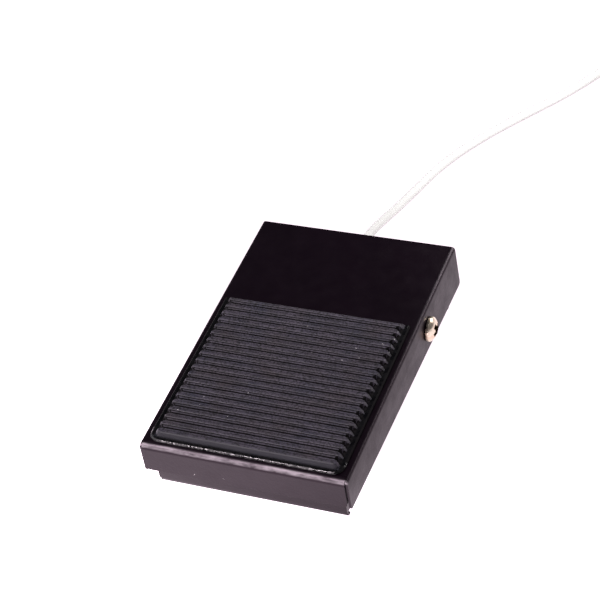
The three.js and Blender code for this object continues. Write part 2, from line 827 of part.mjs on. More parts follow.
function cableTail() {
  const floorZ = TRAY_FLOOR + GAP + CABLE.diameter / 2;
  const start = TRAY.back - SHEET - GAP - RELIEF.lip - 2 * GAP;
  const route = smooth([
    [CABLE.exitX, start, CABLE.exitZ],
    [CABLE.exitX, start - 1, CABLE.exitZ],
    [CABLE.exitX, start - 2.8, CABLE.exitZ - 1.2],
    [CABLE.exitX, start - 5, floorZ + 1],
    [CABLE.exitX, start - 7, floorZ],
    [CABLE.exitX, CLAMP.y, floorZ],
    [CABLE.exitX, CABLE.tailEnd, floorZ],
  ]);
  return tube(route, CABLE.diameter / 2, CABLE.sides, 12);
}

function cableClamp() {
  const floor = TRAY_FLOOR + GAP;
  const reach = CABLE.diameter / 2 + GAP;
  const left = CABLE.exitX - reach - CLAMP.thickness;
  const right = CABLE.exitX + reach + CLAMP.thickness;
  const top = floor + CABLE.diameter + GAP + CLAMP.thickness;
  const saddle = outline([
    [left, floor],
    [left, top, CLAMP.bend],
    [right, top, CLAMP.bend],
    [right, floor + CLAMP.thickness],
    [CLAMP.footEnd, floor + CLAMP.thickness],
    [CLAMP.footEnd, floor],
    [CABLE.exitX + reach, floor],
    [CABLE.exitX + reach, top - CLAMP.thickness, CLAMP.innerBend],
    [CABLE.exitX - reach, top - CLAMP.thickness, CLAMP.innerBend],
    [CABLE.exitX - reach, floor],
  ]);
  const strap = prism(saddle, 'y', CLAMP.y - CLAMP.width / 2, CLAMP.y + CLAMP.width / 2, 4);
  return cut(strap, rod(BRACKET.screwRadius + GAP, FAR, [0, 0, 1], [CLAMP.screwX, CLAMP.y, 0], COARSE));
}

function addInnerLead() {
  addPart('strain_relief', strainRelief(), 'blackPlastic');
  addPart('cable_tail', cableTail(), 'jacket');
  addPart('cable_clamp', cableClamp(), 'steel');
  const seat = [CLAMP.screwX, CLAMP.y, TRAY_FLOOR + CLAMP.thickness + 2 * GAP];
  addPart('clamp_screw', floorScrew(CLAMP.thickness, seat), 'zinc');
  const low = TRAY_FLOOR + GAP + WIRE_RADIUS + 0.2;
  const start = CABLE.tailEnd - GAP;
  const middle = TRAY_FLOOR + GAP + CABLE.diameter / 2;
  const [openY, , commonY] = SWITCH.terminalY;
  const solderZ = SWITCH.bottom - SWITCH.terminalLength + 0.6;
  const beside = -SWITCH.terminalWidth / 2 - GAP;
  addPart('wire_ground', tube(smooth([
    [CABLE.exitX + 0.8, start, middle],
    [CABLE.exitX + 1.2, start - 6, low + 0.6],
    [CABLE.exitX + 1, 14, low],
    [CABLE.exitX + 0.4, 6, low],
    [CABLE.exitX + 0.4, commonY + 3.5, low + 0.2],
    [CABLE.exitX + 1.2, commonY + 0.6, solderZ],
    [beside, commonY, solderZ],
  ]), WIRE_RADIUS, 6, 18), 'blackPlastic');
  addPart('wire_signal', tube(smooth([
    [CABLE.exitX - 0.8, start, middle],
    [CABLE.exitX - 2, start - 6, low + 0.6],
    [CABLE.exitX - 3.6, 12, low],
    [CABLE.exitX - 3.6, 0, low],
    [CABLE.exitX - 2.4, openY + 5, low],
    [CABLE.exitX + 0.6, openY + 0.8, solderZ],
    [beside, openY, solderZ],
  ]), WIRE_RADIUS, 6, 22), 'redPlastic');
}

// ---- lead outside: it drops to the floor, runs back, and is put away in a coil with its plug beside it ----

const LAID = CABLE.diameter / 2 + 0.15;
const COIL_TOP = COIL.bottom + COIL.layers * COIL.pitch;
const COIL_OUTER = COIL.meanRadius + (COIL.columns / 2) * COIL.pitch;
const COIL_INNER = COIL.meanRadius - (COIL.columns / 2) * COIL.pitch;

const LEAD_ROUTE = [
  [CABLE.exitX, 63.7, CABLE.exitZ],
  [CABLE.exitX, 67.2, 9.45],
  [-4.75, 71, 9],
  [-4.45, 75.4, 8.15],
  [-4.1, 79.9, 7],
  [-3.75, 84.5, 5.75],
  [-3.35, 89.2, 4.5],
  [-2.85, 94, 3.4],
  [-2.2, 99, 2.5],
  [-1.25, 104, 1.95],
  [-0.05, 109, LAID],
  [1.5, 114.6, LAID],
  [3.6, 121, LAID],
  [6.6, 128, LAID],
  [10.5, 135.5, LAID],
  [15.2, 143.5, LAID],
  [20.6, 151.5, LAID],
  [26.3, 159.5, LAID],
  [32, 167.5, LAID],
  [37.1, 175.4, LAID],
  [41.4, 182.9, LAID],
  [44.9, 189.6, LAID],
  [47.2, 195.4, LAID],
];

function leadTail() {
  const radius = COIL.meanRadius + COIL.pitch;
  const topTurn = COIL_TOP + GAP + CABLE.diameter / 2;
  return tube(smooth([
    [COIL.x + radius, COIL.y - 4, topTurn],
    [COIL.x + radius + 0.2, COIL.y - 9, topTurn],
    [COIL.x + radius + 0.7, COIL.y - 14.5, topTurn - 0.6],
    [COIL.x + radius + 1.2, COIL.y - 19.5, topTurn - 2.6],
    [COIL.x + radius + 1.5, COIL.y - 24.5, topTurn - 5.4],
    [PLUG.x, PLUG.start + 4.5, PLUG.z + 0.6],
    [PLUG.x, PLUG.start + GAP, PLUG.z],
  ]), CABLE.diameter / 2, CABLE.sides, 10);
}

function coilTie() {
  const reach = GAP + TIE.thickness;
  const low = COIL.bottom - reach;
  const high = COIL_TOP + reach;
  const ring = outline([
    [COIL_INNER - reach, low, TIE.corner],
    [COIL_OUTER + reach, low, TIE.corner],
    [COIL_OUTER + reach, high, TIE.corner],
    [COIL_INNER - reach, high, TIE.corner],
  ]);
  const hole = outline([
    [COIL_INNER - GAP, COIL.bottom - GAP],
    [COIL_OUTER + GAP, COIL.bottom - GAP],
    [COIL_OUTER + GAP, COIL_TOP + GAP],
    [COIL_INNER - GAP, COIL_TOP + GAP],
  ]);
  ring.holes.push(hole);
  const band = prism(ring, 'y', -TIE.width / 2, TIE.width / 2, 3);
  return band.rotateZ(THREE.MathUtils.degToRad(TIE.angle)).translate(COIL.x, COIL.y, 0);
}

// Each piece's length, and its profile as [radius, share of the length] from the lead's end.
const PLUG_PIECES = [
  ['plug_relief', PLUG.reliefLength, [[2.3, 0], [3.6, 1]], 'blackPlastic'],
  [
    'plug_body',
    PLUG.bodyLength,
    [[4.4, 0], [PLUG.bodyRadius, 0.08], [PLUG.bodyRadius, 0.92], [5, 1]],
    'blackPlastic',
  ],
  ['plug_sleeve', PLUG.sleeveLength, [[PLUG.shaftRadius, 0], [PLUG.shaftRadius, 1]], 'nickel'],
  ['plug_insulator', PLUG.insulatorLength, [[2.9, 0], [2.9, 1]], 'blackPlastic'],
  [
    'plug_tip',
    PLUG.tipLength,
    [[PLUG.shaftRadius, 0], [PLUG.shaftRadius, 0.35], [2.1, 0.52], [2.1, 0.6], [3.1, 0.74], [1.2, 1]],
    'nickel',
  ],
];

function addPlug() {
  let y = PLUG.start;
  for (const [name, length, shares, finish] of PLUG_PIECES) {
    const solidLength = length - GAP;
    const side = shares.map(([radius, share]) => [radius, share * solidLength]);
    const profile = [[0, 0], ...side, [0, solidLength]];
    addPart(name, turned(profile, [0, -1, 0], [PLUG.x, y, PLUG.z]), finish);
    y -= length;
  }
}

function addLead() {
  addPart('lead_run', tube(smooth(LEAD_ROUTE), CABLE.diameter / 2, CABLE.sides, 34), 'jacket');
  const centre = [COIL.x, COIL.y, COIL.bottom];
  const height = COIL_TOP - COIL.bottom;
  addPart('lead_coil', sleeve(COIL_INNER, COIL_OUTER, height, [0, 0, 1], centre, COIL.sides), 'jacket');
  addPart('lead_tail', leadTail(), 'jacket');
  addPart('coil_tie', coilTie(), 'blackPlastic');
  addPlug();
}

// ---- the assembly ----

addPart('pedal_cover', pedalCover(), 'paint');
addPart('rubber_tread', rubberTread(), 'rubber');
addPart('base_tray', baseTray(), 'paint');
addPivots();
for (const [name, x, y] of FOOT_PLACES) {
  addPart(name, foot(x, y), 'rubber');
}
addPart('spring_stud_lower', springStud(TRAY_FLOOR + GAP, 1), 'steel');
addPart('spring_stud_upper', springStud(undersideAt(SPRING.y - SPRING.studRadius) - GAP, -1), 'steel');
addPart('return_spring', returnSpring(), 'springSteel');
addPart('stop_bumper_left', stopBumper(-STOP.x), 'rubber');
addPart('stop_bumper_right', stopBumper(STOP.x), 'rubber');
addPart('rear_stop_strip', rearStopStrip(), 'rubber');
addSwitch();
addInnerLead();
addLead();

export default group;
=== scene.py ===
"""The looks of a sustain pedal: cover, ribbed tread, pivot screws, lead, coil and plug, in metres."""
import json
import math

import bmesh
import bpy
from mathutils import Matrix, Vector

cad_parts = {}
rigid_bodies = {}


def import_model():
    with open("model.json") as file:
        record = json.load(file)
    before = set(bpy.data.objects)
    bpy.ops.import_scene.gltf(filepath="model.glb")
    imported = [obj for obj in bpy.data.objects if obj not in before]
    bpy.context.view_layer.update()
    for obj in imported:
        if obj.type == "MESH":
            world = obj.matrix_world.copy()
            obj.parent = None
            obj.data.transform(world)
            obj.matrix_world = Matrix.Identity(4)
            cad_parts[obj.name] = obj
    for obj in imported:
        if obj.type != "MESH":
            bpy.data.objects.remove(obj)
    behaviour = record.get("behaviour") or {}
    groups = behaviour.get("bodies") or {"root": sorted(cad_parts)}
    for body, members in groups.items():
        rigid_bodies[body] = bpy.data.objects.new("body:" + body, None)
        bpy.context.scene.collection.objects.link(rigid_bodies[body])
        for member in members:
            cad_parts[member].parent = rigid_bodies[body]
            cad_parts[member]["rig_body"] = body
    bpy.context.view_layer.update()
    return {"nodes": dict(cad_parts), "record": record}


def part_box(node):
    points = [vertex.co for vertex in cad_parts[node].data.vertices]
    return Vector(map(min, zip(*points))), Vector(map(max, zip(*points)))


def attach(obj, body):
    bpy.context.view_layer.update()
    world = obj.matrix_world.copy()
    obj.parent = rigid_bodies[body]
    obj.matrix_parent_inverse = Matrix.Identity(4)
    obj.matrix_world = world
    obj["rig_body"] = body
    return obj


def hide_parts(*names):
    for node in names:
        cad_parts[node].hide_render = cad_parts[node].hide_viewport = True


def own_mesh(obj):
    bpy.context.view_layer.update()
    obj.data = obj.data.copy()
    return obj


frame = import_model()
NODES = frame["nodes"]
MM = 0.001

# ---- node material helpers ----


class Paint:
    """A material under construction: its shader, and patterns in the object's own metres."""

    def __init__(self, name, metallic=0.0):
        self.material = bpy.data.materials.new(name)
        self.material.use_nodes = True
        self.tree = self.material.node_tree
        self.shader = self.tree.nodes["Principled BSDF"]
        self.shader.inputs["Metallic"].default_value = metallic
        self.place = self.tree.nodes.new("ShaderNodeTexCoord").outputs["Object"]

    def set(self, **values):
        """Plain values of the shader's own inputs."""
        for name, value in values.items():
            self.shader.inputs[name.replace("_", " ")].default_value = value

    def node(self, kind, **values):
        node = self.tree.nodes.new(kind)
        for name, value in values.items():
            setattr(node, name, value)
        return node

    def link(self, source, target):
        self.tree.links.new(source, target)

    def feed(self, slot, value):
        """Puts a number, a colour or another node's output into a slot."""
        if isinstance(value, tuple):
            slot.default_value = (*value, 1)
        elif isinstance(value, (int, float)):
            slot.default_value = value
        else:
            self.link(value, slot)

    def stretched(self, stretch):
        mapping = self.node("ShaderNodeMapping")
        mapping.inputs["Scale"].default_value = stretch
        self.link(self.place, mapping.inputs["Vector"])
        return mapping.outputs["Vector"]

    def noise(self, size, detail=3, stretch=None, rough=0.55):
        """A noise whose features are about that many millimetres across."""
        node = self.node("ShaderNodeTexNoise")
        node.inputs["Scale"].default_value = 1000 / size
        node.inputs["Detail"].default_value = detail
        node.inputs["Roughness"].default_value = rough
        self.link(self.stretched(stretch) if stretch else self.place, node.inputs["Vector"])
        return node.outputs["Fac"]

    def ranged(self, value, low, high, to_low, to_high):
        """A value between low and high carried over to the range from to_low to to_high."""
        node = self.node("ShaderNodeMapRange")
        limits = {"From Min": low, "From Max": high, "To Min": to_low, "To Max": to_high}
        for name, number in limits.items():
            node.inputs[name].default_value = number
        self.link(value, node.inputs["Value"])
        return node.outputs["Result"]

    def math(self, operation, first, second):
        node = self.node("ShaderNodeMath", operation=operation)
        self.feed(node.inputs[0], first)
        self.feed(node.inputs[1], second)
        return node.outputs[0]

    def mix(self, share, first, second):
        """The first colour where the share is 0 and the second where it is 1."""
        node = self.node("ShaderNodeMix", data_type="RGBA")
        self.link(share, node.inputs["Factor"])
        self.feed(node.inputs[6], first)
        self.feed(node.inputs[7], second)
        return node.outputs[2]

    def specks(self, spacing, size, share):
        """Sparse round dots: 1 inside a dot, 0 outside."""
        cells = self.node("ShaderNodeTexVoronoi")
        cells.inputs["Scale"].default_value = 1000 / spacing
        self.link(self.place, cells.inputs["Vector"])
        dot = self.math("LESS_THAN", cells.outputs["Distance"], size / spacing)
        pick = self.node("ShaderNodeSeparateColor")
        self.link(cells.outputs["Color"], pick.inputs["Color"])
        chosen = self.math("LESS_THAN", pick.outputs[0], share)
        return self.math("MULTIPLY", dot, chosen)

    def bump(self, *layers):
        """Each layer is a height pattern and its depth in millimetres, finest last."""
        normal = None
        for height, depth in layers:
            node = self.node("ShaderNodeBump")
            node.inputs["Distance"].default_value = depth * MM
            self.link(height, node.inputs["Height"])
            if normal is not None:
                self.link(normal, node.inputs["Normal"])
            normal = node.outputs["Normal"]
        self.link(normal, self.shader.inputs["Normal"])

    def finish(self, colour, roughness):
        self.feed(self.shader.inputs["Base Color"], colour)
        self.feed(self.shader.inputs["Roughness"], roughness)
        return self.material


def shade(colour, factor):
    """The same colour, darker or lighter."""
    return tuple(channel * factor for channel in colour)


# ---- camera, floor and light ----

# Lengths in metres and angles in degrees
CAMERA_TARGET = Vector((-0.0151437, 0.0321268, 0.010))
CAMERA_DISTANCE = 0.63994
CAMERA_AZIMUTH = 28.191  # from the front towards the right
CAMERA_ELEVATION = 39.913
CAMERA_ROLL = -10.2515
CAMERA_LENS = 117.466  # millimetres, as is the sensor's width
CAMERA_SENSOR = 36
FLOOR_HALF = 3.0
# The paper floor glows white behind the pedal, and brighter in front of it to light the front and side
GLOW_DIRECTION = (-0.5, -0.87, 0)
GLOW_BEHIND, GLOW_IN_FRONT = 1.18, 3.3
GLOW_RISE = 0.06


def make_camera():
    azimuth, elevation = math.radians(CAMERA_AZIMUTH), math.radians(CAMERA_ELEVATION)
    back = Vector((
        math.sin(azimuth) * math.cos(elevation),
        -math.cos(azimuth) * math.cos(elevation),
        math.sin(elevation),
    ))
    camera = bpy.data.objects.new("camera", bpy.data.cameras.new("camera"))
    camera.data.lens = CAMERA_LENS
    camera.data.sensor_width = CAMERA_SENSOR
    camera.data.clip_start = 0.01
    camera.location = CAMERA_TARGET + back * CAMERA_DISTANCE
    level = (-back).to_track_quat("-Z", "Y").to_matrix().to_4x4()
    turned = level @ Matrix.Rotation(math.radians(CAMERA_ROLL), 4, "Z")
    camera.rotation_euler = turned.to_euler()
    bpy.context.scene.collection.objects.link(camera)
    bpy.context.scene.camera = camera


def floor_paper():
    paint = Paint("floor_paper")
    forward = paint.node("ShaderNodeVectorMath", operation="DOT_PRODUCT")
    forward.inputs[1].default_value = GLOW_DIRECTION
    paint.link(paint.place, forward.inputs[0])
    glow = paint.ranged(forward.outputs["Value"], 0, GLOW_RISE, GLOW_BEHIND, GLOW_IN_FRONT)
    paint.link(glow, paint.shader.inputs["Emission Strength"])
    paint.set(Specular_IOR_Level=0.0, Emission_Color=(1.0, 0.86, 0.95, 1))
    return paint.finish((0.08, 0.08, 0.08), 0.9)


def make_floor():
    mesh = bpy.data.meshes.new("floor")
    signs = ((-1, -1), (1, -1), (1, 1), (-1, 1))
    mesh.from_pydata([(x * FLOOR_HALF, y * FLOOR_HALF, 0) for x, y in signs], [], [(0, 1, 2, 3)])
    mesh.materials.append(floor_paper())
    floor = bpy.data.objects.new("floor", mesh)
    bpy.context.scene.collection.objects.link(floor)


def area_light(name, place, aim, size, power, colour=(1, 1, 1)):
    """A rectangular lamp of a size in metres and a power in watts."""
    light = bpy.data.lights.new(name, "AREA")
    light.shape = "RECTANGLE"
    light.size, light.size_y = size
    light.energy = power
    light.color = colour
    lamp = bpy.data.objects.new(name, light)
    lamp.location = place
    lamp.rotation_euler = (Vector(aim) - Vector(place)).to_track_quat("-Z", "Y").to_euler()
    bpy.context.scene.collection.objects.link(lamp)


def make_light():
    world = bpy.data.worlds.new("studio")
    bpy.context.scene.world = world
    world.use_nodes = True
    background = world.node_tree.nodes["Background"]
    background.inputs["Color"].default_value = (0.95, 0.93, 1.0, 1)
    background.inputs["Strength"].default_value = 0.07
    pedal, lead_end = (0, 0, 0.01), (0.055, 0.155, 0)
    area_light("front_box", (-0.5, -0.7, 1.2), pedal, (0.3, 0.45), 20, (1, 0.88, 0.95))
    area_light("left_box", (-1.1, -0.1, 0.7), pedal, (0.7, 0.5), 6, (0.93, 0.94, 1))
    area_light("edge_lamp", (0.7, 0.8, 0.5), pedal, (0.35, 0.35), 4, (1, 0.93, 0.97))
    area_light("lead_lamp", (0.075, 0.125, 0.10), lead_end, (0.06, 0.06), 0.19)
    bpy.context.scene.view_settings.view_transform = "Standard"


make_camera()
make_floor()
make_light()

# ---- materials ----

# Where the cover's coat gets a painted highlight along the front fold, and dust specks below the top
# plate
FOLD_HIGHLIGHT_FROM_Y, FOLD_HIGHLIGHT_FULL_Y = -0.0493, -0.0498
FOLD_HIGHLIGHT_FROM_Z, FOLD_HIGHLIGHT_FULL_Z = 0.0185, 0.0190
DUST_NONE_Z, DUST_FULL_Z = 0.0192, 0.0190


def powder_coat():
    base = (0.0036, 0.0016, 0.0035)
    paint = Paint("powder_coat")
    paint.set(Specular_IOR_Level=0.19, Specular_Tint=(1, 0.8, 0.93, 1))
    tone = paint.mix(paint.noise(14, 4), shade(base, 0.75), shade(base, 1.3))
    place = paint.node("ShaderNodeSeparateXYZ")
    paint.link(paint.place, place.inputs["Vector"])
    forward = paint.ranged(place.outputs["Y"], FOLD_HIGHLIGHT_FROM_Y, FOLD_HIGHLIGHT_FULL_Y, 0, 1)
    upward = paint.ranged(place.outputs["Z"], FOLD_HIGHLIGHT_FROM_Z, FOLD_HIGHLIGHT_FULL_Z, 0, 1)
    streaks = paint.ranged(paint.noise(2.4, 4, stretch=(0.4, 1, 1)), 0.34, 0.66, 0.1, 1)
    fold_highlight = paint.math("MULTIPLY", paint.math("MULTIPLY", forward, upward), streaks)
    # Painted highlight: a light, broken band of colour along the front fold
    tone = paint.mix(fold_highlight, tone, (0.36, 0.33, 0.35))
    below_plate = paint.ranged(place.outputs["Z"], DUST_NONE_Z, DUST_FULL_Z, 0, 1)
    dust = paint.math("MULTIPLY", paint.specks(3.4, 0.16, 0.3), below_plate)
    tone = paint.mix(dust, tone, (0.9, 0.88, 0.88))
    rough = paint.ranged(paint.noise(5, 4), 0.3, 0.7, 0.3, 0.42)
    paint.bump((paint.noise(1.3, 2), 0.03), (paint.noise(0.5, 2), 0.03))
    return paint.finish(tone, rough)


def tread_rubber():
    base = (0.035, 0.031, 0.041)
    paint = Paint("tread_rubber")
    cloud = paint.ranged(paint.noise(12, 4), 0.35, 0.65, 0, 1)
    tone = paint.mix(cloud, (0.027, 0.028, 0.043), (0.040, 0.032, 0.037))
    streaks = paint.ranged(paint.noise(2.2, 5, stretch=(0.25, 1, 1)), 0.35, 0.75, 0, 1)
    tone = paint.mix(streaks, tone, shade(base, 2.0))
    grain = paint.ranged(paint.noise(0.55, 3), 0.46, 0.62, 0, 1)
    tone = paint.mix(grain, tone, shade(base, 0.2))
    tone = paint.mix(paint.specks(2.6, 0.14, 0.3), tone, (0.7, 0.68, 0.67))
    rough = paint.ranged(paint.noise(3, 5), 0.3, 0.7, 0.45, 0.68)
    paint.bump((paint.noise(0.9, 3, stretch=(0.4, 1, 1)), 0.02), (paint.noise(0.22, 2), 0.012))
    return paint.finish(tone, rough)


def tread_flank():
    base = (0.016, 0.0165, 0.021)
    paint = Paint("tread_flank")
    paint.set(Specular_IOR_Level=0.35)
    tone = paint.mix(paint.noise(5, 4), shade(base, 0.7), shade(base, 1.4))
    paint.bump((paint.noise(0.8, 3), 0.02))
    return paint.finish(tone, 0.5)


# Painted shade: near-black rubber for the faces of the grooves and deep dips, and for the rim's side
# edges
def tread_painted_shade():
    base = (0.004, 0.0035, 0.004)
    paint = Paint("tread_painted_shade")
    paint.set(Specular_IOR_Level=0.15)
    tone = paint.mix(paint.noise(2, 3), shade(base, 0.6), shade(base, 1.6))
    return paint.finish(tone, 0.85)


def tread_rim():
    base = (0.0015, 0.0015, 0.002)
    paint = Paint("tread_rim")
    paint.set(Specular_IOR_Level=0.3)
    rough = paint.ranged(paint.noise(2.2, 3), 0.38, 0.56, 0.08, 0.4)
    tone = paint.mix(paint.specks(3, 0.1, 0.1), base, (0.35, 0.34, 0.33))
    paint.bump((paint.noise(2.4, 3), 0.2), (paint.noise(0.6, 2), 0.03))
    return paint.finish(tone, rough)


def black_rubber():
    base = (0.018, 0.018, 0.019)
    paint = Paint("black_rubber")
    tone = paint.mix(paint.noise(4, 4), shade(base, 0.7), shade(base, 1.5))
    rough = paint.ranged(paint.noise(1.5, 3), 0.3, 0.7, 0.5, 0.72)
    paint.bump((paint.noise(0.25, 2), 0.012))
    return paint.finish(tone, rough)


def plated(name, base, roughness, tint, grain=0.35):
    """Plated or bare metal with fine marks: tint is the colour that stains it in places."""
    paint = Paint(name, metallic=1.0)
    stain = paint.ranged(paint.noise(2.5, 4), 0.4, 0.7, 0, 1)
    tone = paint.mix(stain, base, tint)
    rough = paint.ranged(paint.noise(0.9, 4), 0.3, 0.7, roughness * 0.75, roughness * 1.35)
    paint.bump((paint.noise(grain, 3), 0.008))
    return paint.finish(tone, rough)


def moulded(name, base, roughness, depth=0.008):
    """Moulded plastic with a faint texture, whose depth is in millimetres."""
    paint = Paint(name)
    tone = paint.mix(paint.noise(6, 3), shade(base, 0.85), shade(base, 1.15))
    rough = paint.ranged(paint.noise(1.6, 3), 0.3, 0.7, roughness * 0.85, roughness * 1.2)
    paint.bump((paint.noise(0.3, 2), depth))
    return paint.finish(tone, rough)


def lead_jacket():
    base = (0.60, 0.615, 0.585)
    paint = Paint("lead_jacket")
    paint.set(Specular_IOR_Level=0.3)
    tone = paint.mix(paint.noise(12, 4), shade(base, 0.96), shade(base, 1.04))
    grime = paint.ranged(paint.noise(3, 5), 0.66, 0.85, 0, 1)
    tone = paint.mix(grime, tone, (0.55, 0.545, 0.52))
    rough = paint.ranged(paint.noise(1.5, 3), 0.3, 0.7, 0.36, 0.5)
    paint.bump((paint.noise(3, 3), 0.01))
    return paint.finish(tone, rough)


def strap_fabric():
    base = (0.016, 0.016, 0.018)
    paint = Paint("strap_fabric")
    paint.set(Sheen_Weight=0.3)
    weave = paint.noise(0.35, 2)
    tone = paint.mix(weave, shade(base, 0.5), shade(base, 1.8))
    paint.bump((weave, 0.12))
    return paint.finish(tone, 0.85)


MATERIALS = {
    "powder_coat": powder_coat(),
    "tread_rubber": tread_rubber(),
    "tread_rim": tread_rim(),
    "tread_painted_shade": tread_painted_shade(),
    "tread_flank": tread_flank(),
    "black_rubber": black_rubber(),
    "zinc_plate": plated("zinc_plate", (0.84, 0.78, 0.62), 0.3, (0.72, 0.52, 0.38)),
    "recess_shade": plated("recess_shade", (0.05, 0.035, 0.02), 0.5, (0.1, 0.07, 0.03)),
    "pivot_brass": plated("pivot_brass", (0.72, 0.52, 0.22), 0.3, (0.5, 0.35, 0.16)),
    "plain_steel": plated("plain_steel", (0.6, 0.6, 0.61), 0.3, (0.45, 0.46, 0.49)),
    "spring_steel": plated("spring_steel", (0.34, 0.34, 0.36), 0.32, (0.22, 0.2, 0.2)),
    "contact_brass": plated("contact_brass", (0.72, 0.55, 0.28), 0.35, (0.7, 0.7, 0.7)),
    "plug_metal": plated("plug_metal", (0.72, 0.70, 0.66), 0.14, (0.62, 0.58, 0.52), 0.8),
    "switch_plastic": moulded("switch_plastic", (0.014, 0.014, 0.016), 0.42),
    "plunger_plastic": moulded("plunger_plastic", (0.42, 0.04, 0.025), 0.35),
    "wire_black": moulded("wire_black", (0.018, 0.018, 0.018), 0.4),
    "wire_red": moulded("wire_red", (0.4, 0.03, 0.02), 0.4),
    "plug_plastic": moulded("plug_plastic", (0.018, 0.018, 0.02), 0.45, 0.014),
    "lead_jacket": lead_jacket(),
    "tie_fabric": strap_fabric(),
}

SLOT_OF = {row["node"]: row["material_slot"] for row in frame["record"]["subparts"]}

# ---- mesh helpers ----

SMOOTH_ANGLE = 35


def place_piece(name, mesh, body, slot, replaced, smooth=SMOOTH_ANGLE):
    """Puts a mesh in the scene as a piece that rides on a body and stands for CAD nodes."""
    piece = bpy.data.objects.new(name, mesh)
    bpy.context.scene.collection.objects.link(piece)
    if not mesh.materials:
        mesh.materials.append(MATERIALS[slot])
    mesh.shade_smooth()
    mesh.set_sharp_from_angle(angle=math.radians(smooth))
    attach(piece, body)
    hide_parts(*replaced)
    return piece


def mesh_of(name, build):
    """A mesh made by a function that fills a bmesh."""
    bm = bmesh.new()
    build(bm)
    bmesh.ops.recalc_face_normals(bm, faces=bm.faces)
    mesh = bpy.data.meshes.new(name)
    bm.to_mesh(mesh)
    bm.free()
    return mesh


def lathe(bm, profile, origin, axis, segments=64):
    """A closed solid of revolution from (radius, height) points that start and end on the axis."""
    turn = Vector((0, 0, 1)).rotation_difference(Vector(axis)).to_matrix()
    rings = []
    for radius, height in profile:
        ring = []
        for i in range(segments if radius else 1):
            angle = math.tau * i / segments
            point = Vector((radius * math.cos(angle), radius * math.sin(angle), height))
            ring.append(bm.verts.new(Vector(origin) + turn @ point))
        rings.append(ring)
    for low, high in zip(rings, rings[1:]):
        for i in range(segments):
            j = (i + 1) % segments
            corners = [low[i % len(low)], low[j % len(low)], high[j % len(high)], high[i % len(high)]]
            bm.faces.new(list(dict.fromkeys(corners)))


def skin(bm, rings):
    """Faces between each ring of vertices and the next."""
    for one, two in zip(rings, rings[1:]):
        for i in range(len(one)):
            j = (i + 1) % len(one)
            bm.faces.new((one[i], one[j], two[j], two[i]))


MOST_OF_EDGE = 0.45  # a rounding takes no more than this share of the edges beside its corner


def rounded(profile, radius, steps=4):
    """A (radius, height) profile with its corners off the axis rounded."""
    points = [Vector(p) for p in profile]
    out = [points[0]]
    for before, corner, after in zip(points, points[1:], points[2:]):
        to_before, to_after = before - corner, after - corner
        reach = min(radius, to_before.length * MOST_OF_EDGE, to_after.length * MOST_OF_EDGE)
        start = corner + to_before.normalized() * reach
        end = corner + to_after.normalized() * reach
        for i in range(steps + 1):
            t = i / steps
            out.append(start * (1 - t) ** 2 + corner * 2 * t * (1 - t) + end * t**2)
    out.append(points[-1])
    return [tuple(p) for p in out]


def cut_with(mesh, cutter):
    """mesh minus cutter, both made in the same place."""
    body = bpy.data.objects.new("cut_body", mesh)
    tool = bpy.data.objects.new("cut_tool", cutter)
    for item in (body, tool):
        bpy.context.scene.collection.objects.link(item)
    modifier = body.modifiers.new("cut", "BOOLEAN")
    modifier.operation = "DIFFERENCE"
    modifier.solver = "EXACT"
    modifier.object = tool
    bpy.context.view_layer.update()
    evaluated = body.evaluated_get(bpy.context.evaluated_depsgraph_get())
    result = bpy.data.meshes.new_from_object(evaluated)
    for item in (body, tool):
        bpy.data.objects.remove(item)
    return result


def smooth_route(points, step=0.0015):
    """Points close together on a Catmull-Rom curve through the given points."""
    knots = [Vector(p) for p in points]
    ends = [knots[0] * 2 - knots[1], *knots, knots[-1] * 2 - knots[-2]]
    out = []
    for p0, p1, p2, p3 in zip(ends, ends[1:], ends[2:], ends[3:]):
        count = max(1, round((p2 - p1).length / step))
        for i in range(count):
            t = i / count
            out.append(0.5 * (
                2 * p1
                + (p2 - p0) * t
                + (2 * p0 - 5 * p1 + 4 * p2 - p3) * t**2
                + (3 * p1 - 3 * p2 + p3 - p0) * t**3
            ))
    out.append(knots[-1])
    return out


# ---- lead: route repeated from the CAD source, in metres ----

LEAD_DIAMETER = 3.2 * MM
LAID = LEAD_DIAMETER / 2 + 0.15 * MM
LEAD_ROUTE_MM = [
    (-4.8, 63.7, 9.5),
    (-4.8, 67.2, 9.45),
    (-4.75, 71, 9),
    (-4.45, 75.4, 8.15),
    (-4.1, 79.9, 7),
    (-3.75, 84.5, 5.75),
    (-3.35, 89.2, 4.5),
    (-2.85, 94, 3.4),
    (-2.2, 99, 2.5),
    (-1.25, 104, 1.95),
    (-0.05, 109, None),
    (1.5, 114.6, None),
    (3.6, 121, None),
    (6.6, 128, None),
    (10.5, 135.5, None),
    (15.2, 143.5, None),
    (20.6, 151.5, None),
    (26.3, 159.5, None),
    (32, 167.5, None),
    (37.1, 175.4, None),
    (41.4, 182.9, None),
    (44.9, 189.6, None),
    (47.2, 195.4, None),
]
LEAD_TAIL_MM = [
    (93.2, 200.8, 12.1),
    (93.5, 196.4, 12.3),
    (93.9, 191.4, 11.5),
    (94.2, 186.2, 9.5),
    (94.4, 180.8, 7.2),
    (94.5, 175.8, 6.1),
]
INSIDE_PLUG_MM = (0, 8, 16, 24)
COIL_CENTRE = Vector((0.072, 0.205, 0))
COIL_RADIUS = 17.8 * MM
COIL_PITCH = 3.25 * MM
COIL_BOTTOM = 0.8 * MM
COIL_COLUMNS, COIL_LAYERS = 4, 3
TOP_LAYER = 2.87  # the last turns lie in the grooves between the ones below
TURN_POINTS = 48
MOVE_OVER = 0.8  # share of a turn after which the lead moves over to the next turn's place
PLUG_LINE = Vector((0.0945, 0.171, 0.00595))


def coil_turns():
    """(column, layer) of each turn as it is wound: inwards, outwards, inwards, then on top."""
    turns = []
    for layer in range(COIL_LAYERS):
        columns = range(COIL_COLUMNS) if layer == 1 else reversed(range(COIL_COLUMNS))
        turns += [(column, layer) for column in columns]
    return turns + [(column + 0.5, TOP_LAYER) for column in range(COIL_COLUMNS - 1)]


